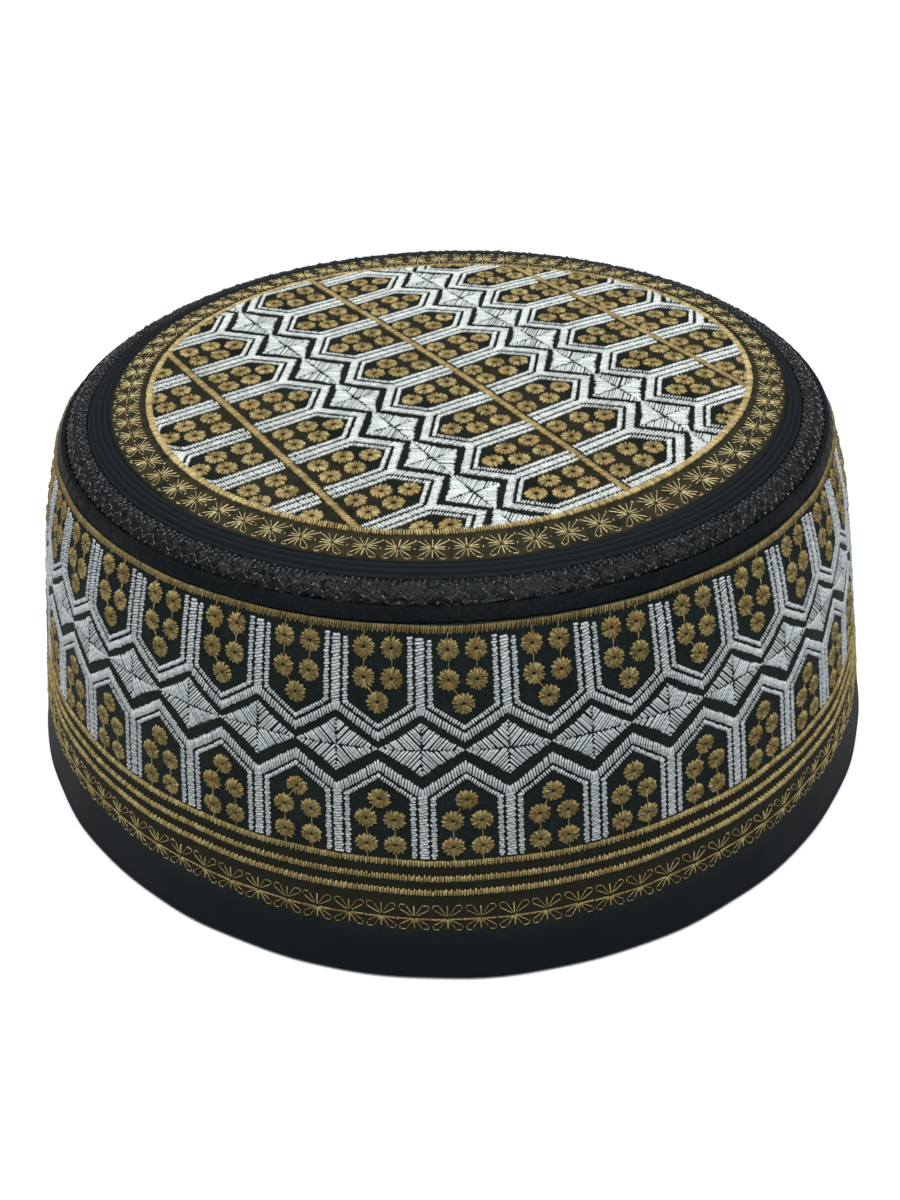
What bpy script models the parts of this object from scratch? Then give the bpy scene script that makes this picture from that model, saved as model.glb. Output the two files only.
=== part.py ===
"""A round embroidered kufi that stands on its own hem, in metres, +Z up.

The frame's origin is the middle of the hem, on the surface that the hat stands on. Four pieces
of cloth make the hat: a flared side band, a narrow rim strip on its upper edge, a padded shoulder
roll inside that strip, and the crown panel inside the roll. All of them are turned round the
same upright axis, and the sizes below are in millimetres.
"""
import math
from collections import namedtuple

import bmesh
import bpy
from mathutils import Vector

MM = 0.001
SEGMENTS = 88
SEAM_GAP = 0.3  # between two pieces that are sewn edge to edge
SMOOTH_ANGLE = math.radians(38)

# A head of about 57 cm inside 2.4 mm of stiffened cloth.
CLOTH = 2.4
HEM_RADIUS = 93.0

# The band's outer face, from the hem up: height over the hem, and how far the face stands inside
# the hem's outer radius.
Station = namedtuple("Station", "place height inset")
BAND = (
    Station("hem", 0.0, 0.0),
    Station("daisy border", 12.0, 2.7),
    Station("satin lines", 20.5, 4.7),
    Station("lower cells", 33.0, 7.2),
    Station("diamond row", 45.2, 9.7),
    Station("upper cells", 56.0, 12.7),
    Station("upper edge", 65.4, 16.2),
)
BAND_ROWS = 11
LINING_ROWS = 5
HEM_ROUND = 0.9
EDGE_ROUND = 0.8
CORNER_STEPS = 3

# The shoulder: a roll of wadding over the band's upper edge.
ROLL_CENTRE_RADIUS = 71.6
ROLL_CENTRE_HEIGHT = 66.2
ROLL_ROUND = 3.2
ROLL_FLAT = 1.1  # its flat inner side is this far inside its centre
ROLL_STEPS = 10

# The rim strip hugs the roll's lower outer side and carries the band's slope on over it.
STRIP_CENTRE_RADIUS = 70.6
STRIP_CENTRE_HEIGHT = 63.2
STRIP_ROUND = 6.6
STRIP_TOP_ANGLE = 40.0
STRIP_LINING_TOP_ANGLE = 20.0
STRIP_STEPS = 4

# The crown: a disc that rises a little towards its middle.
CROWN_RADIUS = ROLL_CENTRE_RADIUS - ROLL_FLAT - SEAM_GAP
CROWN_EDGE_HEIGHT = 70.3
CROWN_RISE = 1.6
CROWN_ROWS = 7
CROWN_LINING_ROWS = 2
CROWN_EDGE_ROUND = 0.8


def band_inset(height):
    """The band's inset at a height: a smooth curve through the stations."""
    last = len(BAND) - 1
    low = max(i for i in range(last) if BAND[i].height <= max(height, 0.0))
    a = BAND[low]
    b = BAND[low + 1]
    slopes = []
    for i in (low, low + 1):
        before = BAND[max(i - 1, 0)]
        after = BAND[min(i + 1, last)]
        slopes.append((after.inset - before.inset) / (after.height - before.height))
    span = b.height - a.height
    t = (height - a.height) / span
    return (
        (2 * t**3 - 3 * t**2 + 1) * a.inset
        + (t**3 - 2 * t**2 + t) * span * slopes[0]
        + (3 * t**2 - 2 * t**3) * b.inset
        + (t**3 - t**2) * span * slopes[1]
    )


def band_face(height, depth=0.0):
    """A point of the band at a height of its outer face, and a depth into the cloth."""
    step = 0.1
    slope = (band_inset(height + step) - band_inset(height - step)) / (2 * step)
    length = math.hypot(1.0, slope)
    radius = HEM_RADIUS - band_inset(height)
    return (radius - depth / length, height - depth * slope / length)


def arc(centre, radius, start, end, steps):
    """Points of an arc round a centre, from one angle to another in degrees."""
    points = []
    for i in range(steps + 1):
        angle = math.radians(start + (end - start) * i / steps)
        points.append((centre[0] + radius * math.cos(angle), centre[1] + radius * math.sin(angle)))
    return points


def even(start, end, steps):
    """Values from start to end, both included."""
    return [start + (end - start) * i / steps for i in range(steps + 1)]


def turned(name, profile, base, closed=True):
    """A piece of cloth turned round the upright axis from a profile of (radius, height) in mm.

    The object stands at its base height. An open profile starts and ends on the axis.
    """
    mesh = bpy.data.meshes.new(name)
    shape = bmesh.new()
    corners = [shape.verts.new((r * MM, 0.0, (z - base) * MM)) for r, z in profile]
    sides = list(zip(corners[:-1], corners[1:]))
    if closed:
        sides.append((corners[-1], corners[0]))
    edges = [shape.edges.new(side) for side in sides]
    bmesh.ops.spin(
        shape,
        geom=corners + edges,
        cent=Vector((0.0, 0.0, 0.0)),
        axis=Vector((0.0, 0.0, 1.0)),
        angle=2 * math.pi,
        steps=SEGMENTS,
        use_merge=True,
    )
    bmesh.ops.remove_doubles(shape, verts=shape.verts, dist=1e-6)
    bmesh.ops.dissolve_degenerate(shape, edges=shape.edges, dist=1e-6)
    bmesh.ops.recalc_face_normals(shape, faces=shape.faces)
    shape.to_mesh(mesh)
    shape.free()
    mesh.shade_smooth()
    mesh.set_sharp_from_angle(angle=SMOOTH_ANGLE)
    piece = bpy.data.objects.new(name, mesh)
    piece.location = (0.0, 0.0, base * MM)
    bpy.context.scene.collection.objects.link(piece)
    return piece


def cloth(name, colour, roughness, sheen):
    """A dyed cloth: a Principled material with a soft sheen and no metal."""
    material = bpy.data.materials.new(name)
    material.use_nodes = True
    surface = material.node_tree.nodes["Principled BSDF"]
    surface.inputs["Base Color"].default_value = (*colour, 1.0)
    surface.inputs["Roughness"].default_value = roughness
    surface.inputs["Metallic"].default_value = 0.0
    surface.inputs["Sheen Weight"].default_value = sheen
    material.diffuse_color = (*colour, 1.0)
    return material


def side_band():
    """The flared wall: a flat foot, the outer face, a soft upper edge and the lining face."""
    upper = BAND[-1].height
    hem_centre = (HEM_RADIUS - HEM_ROUND, HEM_ROUND)
    edge_height = upper - EDGE_ROUND
    outer_edge = (band_face(edge_height, EDGE_ROUND)[0], edge_height)
    inner_edge = (band_face(edge_height, CLOTH - EDGE_ROUND)[0], edge_height)
    profile = arc(hem_centre, HEM_ROUND, -90, -15, CORNER_STEPS)
    profile += [band_face(z) for z in even(2 * HEM_ROUND, upper - 1.5 * EDGE_ROUND, BAND_ROWS)]
    profile += arc(outer_edge, EDGE_ROUND, 20, 90, CORNER_STEPS)
    profile += arc(inner_edge, EDGE_ROUND, 90, 180, CORNER_STEPS)
    profile += [band_face(z, CLOTH) for z in even(upper - 3 * EDGE_ROUND, 2 * HEM_ROUND, LINING_ROWS)]
    profile.append((HEM_RADIUS - CLOTH, 0.0))
    piece = turned("side_band", profile, 0.0)
    piece.data.materials.append(cloth("band_cloth", (0.012, 0.014, 0.018), 0.62, 0.2))
    return piece


def shoulder_roll():
    """The padded roll: round outside, flat against the crown's edge and over the band."""
    base = BAND[-1].height + SEAM_GAP
    centre = (ROLL_CENTRE_RADIUS, ROLL_CENTRE_HEIGHT)
    inner = CROWN_RADIUS + SEAM_GAP
    low = -math.degrees(math.asin((ROLL_CENTRE_HEIGHT - base) / ROLL_ROUND))
    high = math.degrees(math.acos((inner - ROLL_CENTRE_RADIUS) / ROLL_ROUND))
    profile = arc(centre, ROLL_ROUND, low, high, ROLL_STEPS)
    profile.append((inner, base))
    piece = turned("shoulder_roll", profile, base)
    piece.data.materials.append(cloth("shoulder_cloth", (0.020, 0.022, 0.026), 0.5, 0.3))
    return piece


def rim_strip():
    """The smooth strip between the roll and the band's upper edge."""
    base = BAND[-1].height + SEAM_GAP
    centre = (STRIP_CENTRE_RADIUS, STRIP_CENTRE_HEIGHT)
    low = math.degrees(math.asin((base - STRIP_CENTRE_HEIGHT) / STRIP_ROUND))
    profile = arc(centre, STRIP_ROUND, low, STRIP_TOP_ANGLE, STRIP_STEPS)
    roll = (ROLL_CENTRE_RADIUS, ROLL_CENTRE_HEIGHT)
    inside = ROLL_ROUND + SEAM_GAP
    lining_low = -math.degrees(math.asin((ROLL_CENTRE_HEIGHT - base) / inside))
    profile += arc(roll, inside, STRIP_LINING_TOP_ANGLE, lining_low, STRIP_STEPS)
    piece = turned("rim_strip", profile, base)
    piece.data.materials.append(cloth("rim_cloth", (0.010, 0.012, 0.015), 0.55, 0.2))
    return piece


def crown_height(radius):
    """The crown's upper face at a radius."""
    return CROWN_EDGE_HEIGHT + CROWN_RISE * (1 - (radius / CROWN_RADIUS) ** 2)


def crown_panel():
    """The top: a slightly raised disc of stiffened cloth with a soft edge."""
    base = CROWN_EDGE_HEIGHT - CLOTH
    rim = CROWN_RADIUS - CROWN_EDGE_ROUND
    profile = [(r, crown_height(r) - CLOTH) for r in even(0.0, rim, CROWN_LINING_ROWS)]
    profile += arc((rim, base + CROWN_EDGE_ROUND), CROWN_EDGE_ROUND, -60, 0, CORNER_STEPS - 1)
    profile += arc((rim, CROWN_EDGE_HEIGHT - CROWN_EDGE_ROUND), CROWN_EDGE_ROUND, 0, 60, CORNER_STEPS - 1)
    profile += [(r, crown_height(r)) for r in even(rim, 0.0, CROWN_ROWS)]
    piece = turned("crown_panel", profile, base, closed=False)
    piece.data.materials.append(cloth("crown_cloth", (0.014, 0.016, 0.020), 0.6, 0.25))
    return piece


def clear_scene():
    for old in list(bpy.data.objects):
        bpy.data.objects.remove(old, do_unlink=True)


def main():
    clear_scene()
    kufi = bpy.data.objects.new("kufi", None)
    bpy.context.scene.collection.objects.link(kufi)
    for piece in (side_band(), rim_strip(), shoulder_roll(), crown_panel()):
        piece.parent = kufi
        print(piece.name, len(piece.data.polygons), "faces")


main()
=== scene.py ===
# %% [markdown]
# # A round embroidered kufi
#
# The hat is a stiff black cap: a flared side band, a narrow rim strip, a padded shoulder and a
# nearly flat crown. White and gold thread covers it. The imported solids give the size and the
# place of everything, so they are loaded first and never moved. Each solid is then replaced by
# a finer piece of cloth in the same place, and the embroidery is sewn on that cloth.

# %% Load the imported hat
import math
from collections import namedtuple

import bpy
import numpy as np
from mathutils import Matrix, Vector


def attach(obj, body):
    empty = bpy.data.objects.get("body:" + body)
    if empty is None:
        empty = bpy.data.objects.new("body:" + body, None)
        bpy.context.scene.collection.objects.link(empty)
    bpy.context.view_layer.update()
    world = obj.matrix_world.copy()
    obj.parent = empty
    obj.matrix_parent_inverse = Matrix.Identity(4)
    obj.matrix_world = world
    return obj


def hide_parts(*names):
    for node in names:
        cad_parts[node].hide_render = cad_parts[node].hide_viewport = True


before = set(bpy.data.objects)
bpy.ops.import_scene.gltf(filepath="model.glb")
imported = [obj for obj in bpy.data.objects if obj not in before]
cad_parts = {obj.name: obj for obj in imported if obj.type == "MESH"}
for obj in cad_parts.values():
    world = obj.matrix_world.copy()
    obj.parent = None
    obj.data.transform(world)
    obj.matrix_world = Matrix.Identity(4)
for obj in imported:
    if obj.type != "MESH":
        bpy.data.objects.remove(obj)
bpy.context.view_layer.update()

MM = 0.001

# %% [markdown]
# ## The camera
#
# The photograph was taken from above the front of the hat, with a normal lens. A camera is a
# place, a direction and a roll. Here it is given by its height angle over the table, its
# distance from a point in the hat, and a small roll, because the hat stands a little askew in
# the frame. Vectors are used so that nobody has to guess rotation angles.

# %% Camera
CAMERA_ELEVATION = math.radians(36.50)
CAMERA_ROLL = math.radians(-1.80)
CAMERA_DISTANCE = 0.26919
CAMERA_TARGET = Vector((-0.0001, 0.0, 0.01313))
CAMERA_LENS_MM = 34.91


def add_camera():
    back = Vector((0.0, -math.cos(CAMERA_ELEVATION), math.sin(CAMERA_ELEVATION)))
    right = Vector((1.0, 0.0, 0.0))
    up = back.cross(right)
    turned_right = right * math.cos(CAMERA_ROLL) + up * math.sin(CAMERA_ROLL)
    turned_up = up * math.cos(CAMERA_ROLL) - right * math.sin(CAMERA_ROLL)
    bpy.ops.object.camera_add()
    camera = bpy.context.object
    camera.name = "photo_camera"
    turn = Matrix((turned_right, turned_up, back)).transposed().to_4x4()
    camera.matrix_world = Matrix.Translation(CAMERA_TARGET + back * CAMERA_DISTANCE) @ turn
    camera.data.lens = CAMERA_LENS_MM
    camera.data.sensor_width = 36.0
    camera.data.clip_start = 0.01
    bpy.context.scene.camera = camera
    return camera


print("camera at", [round(x, 3) for x in add_camera().location])

# %% [markdown]
# ## Small helpers for materials
#
# A material is a little graph of nodes. Writing it as a few calls keeps each recipe readable:
# `add_node` adds a node, sets the plain numbers on its sockets and links the rest. The others
# are the steps that cloth and thread both need: noise, slanting waves, a stretched value, two
# values in one, a bump, a ramp of colours, and a tint laid over a colour.

# %% Node helpers


def add_node(tree, kind, links=None, **values):
    """A shader node with its plain socket values set and its linked sockets joined."""
    node = tree.nodes.new("ShaderNode" + kind)
    for socket, value in values.items():
        if hasattr(node, socket):
            setattr(node, socket, value)
        else:
            node.inputs[socket.replace("_", " ")].default_value = value
    for socket, source in (links or {}).items():
        tree.links.new(source, node.inputs[socket])
    return node


def noise(tree, where, scale, detail, **values):
    node = add_node(tree, "TexNoise", {"Vector": where}, Scale=scale, Detail=detail, **values)
    return node.outputs["Fac"]


def waves(tree, flat, slant, scale, distortion, **values):
    """Fine waves over a UV map in mm, turned by a slant."""
    turned = add_node(tree, "Mapping", {"Vector": flat}, Rotation=(0.0, 0.0, slant)).outputs[0]
    values.update(Scale=scale, Distortion=distortion)
    return add_node(tree, "TexWave", {"Vector": turned}, **values).outputs["Fac"]


def stretch(tree, value, low, high, **values):
    """The value, stretched so that low gives 0 and high gives 1."""
    node = add_node(tree, "MapRange", {"Value": value}, From_Min=low, From_Max=high, **values)
    return node.outputs[0]


def join(tree, operation, first, second):
    return add_node(tree, "Math", {0: first, 1: second}, operation=operation).outputs[0]


def bump(tree, height, strength, distance, **links):
    """The normal of a bump, over another one where Normal is given."""
    links["Height"] = height
    return add_node(tree, "Bump", links, Strength=strength, Distance=distance).outputs[0]


def colour_ramp(tree, factor, *stops):
    """A colour that runs through its stops, given as (position, colour), by a factor."""
    ramp = add_node(tree, "ValToRGB", {"Fac": factor})
    points = ramp.color_ramp.elements
    points[0].position, points[1].position = stops[0][0], stops[-1][0]
    for place, _ in stops[1:-1]:
        points.new(place)
    for point, (_, colour) in zip(points, stops):
        point.color = (*colour, 1.0)
    return ramp.outputs["Color"]


def grey_ramp(tree, factor, *stops):
    return colour_ramp(tree, factor, *[(place, (value,) * 3) for place, value in stops])


def lay_over(tree, factor, colour, tint):
    """The colour, with a tint laid over it by a factor."""
    blend = add_node(tree, "Mix", {"Factor": factor, "A": colour}, data_type="RGBA")
    blend.inputs["B"].default_value = (*tint, 1.0)
    return blend.outputs["Result"]


def start_material(name, roughness, specular):
    """A new Principled material: itself, its tree, its shader and the Object coordinates."""
    material = bpy.data.materials.new(name)
    material.use_nodes = True
    tree = material.node_tree
    shader = tree.nodes["Principled BSDF"]
    shader.inputs["Roughness"].default_value = roughness
    shader.inputs["Specular IOR Level"].default_value = specular
    return material, tree, shader, add_node(tree, "TexCoord").outputs["Object"]


# %% [markdown]
# ## Floor and light
#
# The hat stands on a plain pale floor under soft light: one big softbox overhead, a small one in
# front for the highlights on the thread, and one behind for the shine on the shoulder. The
# world's even white stands for a studio's white walls. They look brighter to the camera than
# they light the hat. Soft light matters for embroidery, because a thread shows by the small
# highlight on its back and the small shadow at its foot.

# %% Floor and softboxes
FLOOR_SIDE = 3.2
WALL_LIGHT, WALL_SEEN = 0.24, 1.1
Softbox = namedtuple("Softbox", "name place size watts")
SOFTBOXES = (
    Softbox("overhead", (0.0, -0.65, 5.0), 2.4, 236.0),
    Softbox("front", (-0.25, -1.3, 1.5), 0.5, 3.0),
    Softbox("behind", (0.0, 2.2, 2.4), 0.6, 10.0),
)


def add_floor():
    bpy.ops.object.select_all(action="DESELECT")
    bpy.ops.mesh.primitive_plane_add(size=FLOOR_SIDE, location=(0.0, 0.0, 0.0))
    floor = bpy.context.object
    floor.name = "studio_floor"
    material, tree, shader, where = start_material("pale_floor", 0.9, 0.0)
    paint = grey_ramp(tree, noise(tree, where, 3.0, 2.0), (0.0, 0.90), (1.0, 0.93))
    tree.links.new(paint, shader.inputs["Base Color"])
    floor.data.materials.append(material)


def add_softbox(box):
    data = bpy.data.lights.new(box.name, "AREA")
    data.shape = "SQUARE"
    data.size = box.size
    data.energy = box.watts
    lamp = bpy.data.objects.new("softbox_" + box.name, data)
    lamp.location = box.place
    aim = Vector((0.0, 0.0, 0.04)) - Vector(box.place)
    lamp.rotation_euler = aim.to_track_quat("-Z", "Y").to_euler()
    bpy.context.scene.collection.objects.link(lamp)


def add_white_walls():
    world = bpy.data.worlds.new("studio_walls")
    world.use_nodes = True
    tree = world.node_tree
    walls = tree.nodes["Background"].inputs
    walls["Color"].default_value = (1.0, 1.0, 1.0, 1.0)
    seen = add_node(tree, "LightPath").outputs["Is Camera Ray"]
    strength = stretch(tree, seen, 0.0, 1.0, To_Min=WALL_LIGHT, To_Max=WALL_SEEN)
    tree.links.new(strength, walls["Strength"])
    bpy.context.scene.world = world


add_floor()
for softbox in SOFTBOXES:
    add_softbox(softbox)
add_white_walls()
bpy.context.scene.view_settings.view_transform = "Standard"
print("softboxes:", len(SOFTBOXES))

# %% [markdown]
# ## The hat's own sizes
#
# These are the sizes of the solids, in millimetres: the side band's outline as heights and
# insets, the shoulder's roll, the rim strip and the crown. A pattern has to follow the cloth,
# so the band's outline is also walked in small steps, which gives the distance along the cloth
# from the hem. The embroidery is drawn flat, as (along the girth, up the cloth), and that
# distance puts it on the curved wall without stretching it.

# %% Sizes and the wall's outline
CLOTH = 2.4
HEM_RADIUS = 93.0
SEAM_GAP = 0.3
Station = namedtuple("Station", "place height inset")
BAND = (
    Station("hem", 0.0, 0.0),
    Station("daisy border", 12.0, 2.7),
    Station("satin lines", 20.5, 4.7),
    Station("lower cells", 33.0, 7.2),
    Station("diamond row", 45.2, 9.7),
    Station("upper cells", 56.0, 12.7),
    Station("upper edge", 65.4, 16.2),
)
HEM_ROUND = 0.9
EDGE_ROUND = 0.8
ROLL_CENTRE = (71.6, 66.2)
ROLL_ROUND = 3.2
STRIP_CENTRE = (70.6, 63.2)
STRIP_ROUND = 6.6
CROWN_RADIUS = 70.2
CROWN_EDGE_HEIGHT = 70.3
CROWN_RISE = 1.6
BAND_TOP = BAND[-1].height
ROLL_BASE = BAND_TOP + SEAM_GAP


def band_inset(height):
    """The band's inset at a height: a smooth curve through the stations."""
    last = len(BAND) - 1
    low = max(i for i in range(last) if BAND[i].height <= max(height, 0.0))
    a, b = BAND[low], BAND[low + 1]
    slopes = []
    for i in (low, low + 1):
        before, after = BAND[max(i - 1, 0)], BAND[min(i + 1, last)]
        slopes.append((after.inset - before.inset) / (after.height - before.height))
    span = b.height - a.height
    t = (height - a.height) / span
    return (
        (2 * t**3 - 3 * t**2 + 1) * a.inset
        + (t**3 - 2 * t**2 + t) * span * slopes[0]
        + (3 * t**2 - 2 * t**3) * b.inset
        + (t**3 - t**2) * span * slopes[1]
    )


WALL_HEIGHTS = np.linspace(0.0, BAND_TOP, 655)
WALL_RADII = np.array([HEM_RADIUS - band_inset(z) for z in WALL_HEIGHTS])
WALL_STEPS = np.hypot(np.diff(WALL_HEIGHTS), np.diff(WALL_RADII))
WALL_ARC = np.concatenate([[0.0], np.cumsum(WALL_STEPS)])
WALL_OUT = np.gradient(WALL_HEIGHTS, WALL_ARC)
WALL_UP = -np.gradient(WALL_RADII, WALL_ARC)
print("cloth up the wall:", round(float(WALL_ARC[-1]), 1), "mm")

# %% [markdown]
# Stiff cloth is never a perfect circle. A few slow waves, a quarter of a millimetre high, keep
# the outline from looking turned on a lathe. The same functions move the cloth and everything
# that is sewn on it.

# %% Round places and the cloth's slow waves


def polar(x, y):
    """The turn round the hat, from its front, and the distance from its axis."""
    return np.arctan2(x, -np.asarray(y)), np.hypot(x, y)


def around(turn, radius, height):
    """The points at a turn, a distance from the axis and a height."""
    return np.stack([radius * np.sin(turn), -radius * np.cos(turn), height], axis=-1)


def wall_sway(turn, height):
    """How far the wall stands out of true, in mm."""
    slow = 0.22 * np.sin(3 * turn + 0.6) + 0.12 * np.sin(7 * turn + 2.0)
    ripples = 0.07 * np.sin(19 * turn + height / 9.0) + 0.05 * np.sin(31 * turn - height / 6.0)
    return slow + ripples


def crown_sway(x, y):
    """How far the crown stands out of true, in mm. It fades out towards the seam."""
    slow = 0.16 * np.sin(x / 17.0 + 0.8) * np.cos(y / 21.0) + 0.07 * np.sin(x / 6.5 - y / 9.0)
    return slow * np.clip((69.0 - np.hypot(x, y)) / 6.0, 0, 1)


# %% [markdown]
# ## Turning a piece of cloth
#
# Each piece of this hat is round, so its section is drawn once, as a closed outline of
# (radius, height), and spun about the upright axis. The outline starts as a circle primitive
# with one corner for each of its points. Spin leaves a doubled seam, which is merged, and the
# faces are turned outwards. Then the corners are moved a little, as real cloth would pull, and
# a UV map in millimetres goes on last, so that the weave follows the cloth.

# %% Spin an outline


def arc(centre, radius, start, end, steps):
    """Points of an arc round a centre, from one angle to another in degrees."""
    angles = np.radians(np.linspace(start, end, steps + 1))
    return [(centre[0] + radius * math.cos(a), centre[1] + radius * math.sin(a)) for a in angles]


def spin_outline(name, outline, segments):
    """A closed outline of (radius, height) in mm, spun about the upright axis."""
    bpy.ops.object.select_all(action="DESELECT")
    bpy.ops.mesh.primitive_circle_add(vertices=len(outline), radius=1.0)
    piece = bpy.context.object
    piece.name = piece.data.name = name
    for corner, (radius, height) in zip(piece.data.vertices, outline):
        corner.co = (radius * MM, 0.0, height * MM)
    bpy.ops.object.mode_set(mode="EDIT")
    bpy.ops.mesh.select_all(action="SELECT")
    bpy.ops.mesh.spin(steps=segments, angle=2 * math.pi, center=(0, 0, 0), axis=(0, 0, 1))
    bpy.ops.mesh.select_all(action="SELECT")
    bpy.ops.mesh.remove_doubles(threshold=1e-6)
    bpy.ops.mesh.dissolve_degenerate(threshold=1e-7)
    bpy.ops.mesh.select_all(action="SELECT")
    bpy.ops.mesh.normals_make_consistent(inside=False)
    bpy.ops.object.mode_set(mode="OBJECT")
    bpy.ops.object.shade_smooth_by_angle(angle=math.radians(50))
    return piece


def values_of(items, key, kind, width=1):
    """One value of each corner, loop or face of a mesh, as an array."""
    values = np.empty(len(items) * width, dtype=kind)
    items.foreach_get(key, values)
    return values


def corners_of(piece):
    """The piece's corners as an array of millimetres."""
    return values_of(piece.data.vertices, "co", float, 3).reshape(-1, 3) / MM


def map_cloth(piece, up_cloth, girth_radius):
    """A UV map in mm: round the girth and up the section, or plain x and y without a girth."""
    corners = corners_of(piece)
    mesh = piece.data
    at = values_of(mesh.loops, "vertex_index", np.int32)
    flat = corners[at][:, :2]
    if girth_radius:
        turn = polar(corners[:, 0], corners[:, 1])[0][at]
        starts = values_of(mesh.polygons, "loop_start", np.int32)
        first = np.repeat(turn[starts], values_of(mesh.polygons, "loop_total", np.int32))
        turn = turn + 2 * math.pi * np.round((first - turn) / (2 * math.pi))
        flat = np.stack([turn * girth_radius, up_cloth(corners)[at]], axis=1)
    mesh.uv_layers.new(name="cloth").data.foreach_set("uv", flat.ravel())


def make_cloth(name, outline, segments, pull, material, up_cloth=None, girth_radius=None):
    """Spins a piece of cloth, pulls its corners out of true and gives it its map and material."""
    piece = spin_outline(name, outline, segments)
    points = corners_of(piece)
    pull(points)
    piece.data.vertices.foreach_set("co", (points * MM).ravel())
    piece.data.update()
    map_cloth(piece, up_cloth, girth_radius)
    piece.data.materials.append(material)
    print(f"{name}: {len(piece.data.polygons)} faces")
    return piece, points


# %% [markdown]
# ## The black cloth
#
# The ground is a black stiffened satin. Close up it shows a fine slanting weave and small
# uneven patches. Two crossed wave textures on the cloth's UV map, in millimetres, make the
# weave's bump. A slow and a fast noise mix two blacks. A piece may have a tint that is laid
# over them, crinkles in its bump, and a gloss that changes up the cloth.

# %% Cloth material
WEAVE_SLANT = math.radians(28)


def cloth_material(
    name, dark, light, roughness, specular, weave=2.2, tint=None, crinkle=0.0, gloss=()
):
    material, tree, shader, where = start_material(name, roughness, specular)
    flat = add_node(tree, "UVMap", uv_map="cloth").outputs["UV"]
    patches = noise(tree, where, 45.0, 4.0, Roughness=0.6)
    both = join(tree, "MULTIPLY", patches, noise(tree, where, 1400.0, 2.0))
    colour = colour_ramp(tree, both, (0.18, dark), (0.42, light))
    if tint:
        colour = tint(tree, where, colour)
    tree.links.new(colour, shader.inputs["Base Color"])
    warp = waves(tree, flat, WEAVE_SLANT, weave, 0.6, Detail=1.0)
    weft = waves(tree, flat, WEAVE_SLANT, weave * 0.55, 0.5, bands_direction="Y")
    normal = bump(tree, join(tree, "ADD", warp, weft), 0.35, 0.00006)
    if crinkle:
        folds = noise(tree, where, 420.0, 3.0, Roughness=0.5)
        normal = bump(tree, folds, crinkle, 0.0016, Normal=normal)
    tree.links.new(normal, shader.inputs["Normal"])
    if gloss:
        up = add_node(tree, "SeparateXYZ", {"Vector": flat}).outputs["Y"]
        ends = {0: noise(tree, where, 260.0, 2.0), 2: up}
        wavy = add_node(tree, "Math", ends, operation="MULTIPLY_ADD")
        wavy.inputs[1].default_value = 3.0
        share = stretch(tree, wavy.outputs[0], 1.5, 11.5)
        tree.links.new(grey_ramp(tree, share, *gloss), shader.inputs["Roughness"])
    return material


# %% [markdown]
# ## The side band
#
# The band is one stiffened strip, wider at the hem than at the top, with a rounded hem fold and
# a rounded upper edge. Its outline goes up the outside, over the edge and down the inside. The
# ground looks brown round the gold lines, where gold fluff lies in the weave, and the bare
# strip under them looks a little bluer than the rest.

# %% Side band
SEGMENTS = 304
FLUFF_UP_THE_BAND = ((0.35, 0.0), (0.38, 0.9), (0.80, 0.7), (0.88, 0.0))  # by shares of 30 mm


def wall_point(height, depth=0.0):
    """A point of the wall at a height of its outer face and a depth into the cloth."""
    at = np.interp(height, WALL_HEIGHTS, WALL_ARC)
    radius, out, up = (np.interp(at, WALL_ARC, along) for along in (WALL_RADII, WALL_OUT, WALL_UP))
    return (float(radius - depth * out), float(height - depth * up))


def side_band_outline():
    edge = BAND_TOP - EDGE_ROUND
    outline = arc((HEM_RADIUS - HEM_ROUND, HEM_ROUND), HEM_ROUND, -90, -8, 6)
    outline += [wall_point(z) for z in np.linspace(1.6, BAND_TOP - 1.2, 80)]
    outline += arc((wall_point(edge, EDGE_ROUND)[0], edge), EDGE_ROUND, 20, 90, 5)
    outline += arc((wall_point(edge, CLOTH - EDGE_ROUND)[0], edge), EDGE_ROUND, 90, 180, 5)
    outline += [wall_point(z, CLOTH) for z in np.linspace(BAND_TOP - 2.4, 1.8, 24)]
    inner_foot = HEM_RADIUS - CLOTH
    return [*outline, (inner_foot + 0.4, 0.3), (inner_foot + 0.9, 0.0)]


def sway_band(points):
    """Moves the band by its slow waves. The hem's foot stays flat."""
    turn, radius = polar(points[:, 0], points[:, 1])
    points[:, :2] *= ((radius + wall_sway(turn, points[:, 2])) / np.maximum(radius, 1e-6))[:, None]


def tint_band(tree, where, colour):
    height = add_node(tree, "SeparateXYZ", {"Vector": where}).outputs["Z"]
    fluff = grey_ramp(tree, stretch(tree, height, 0.0, 0.030), *FLUFF_UP_THE_BAND)
    bare = stretch(tree, height, 0.011, 0.007)
    colour = lay_over(tree, fluff, colour, (0.0170, 0.0158, 0.0098))
    return lay_over(tree, bare, colour, (0.0065, 0.0095, 0.0135))


side_cloth = cloth_material(
    "black_satin_side", (0.008, 0.012, 0.012), (0.015, 0.0215, 0.02), 0.6, 0.03, tint=tint_band
)
side_band, _ = make_cloth(
    "side_band_cloth", side_band_outline(), SEGMENTS, sway_band, side_cloth,
    lambda c: c[:, 2] * 1.03, 84.0,
)

# %% [markdown]
# ## The rim strip
#
# A smooth strip of the same cloth covers the seam between the band and the shoulder. It is
# pulled tight, so it shows shallow puckers, a few millimetres apart and uneven in depth.

# %% Rim strip
PUCKERS = 61
PUCKER_DEEP = 0.16
PUCKER_PHASE = 0.4


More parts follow.
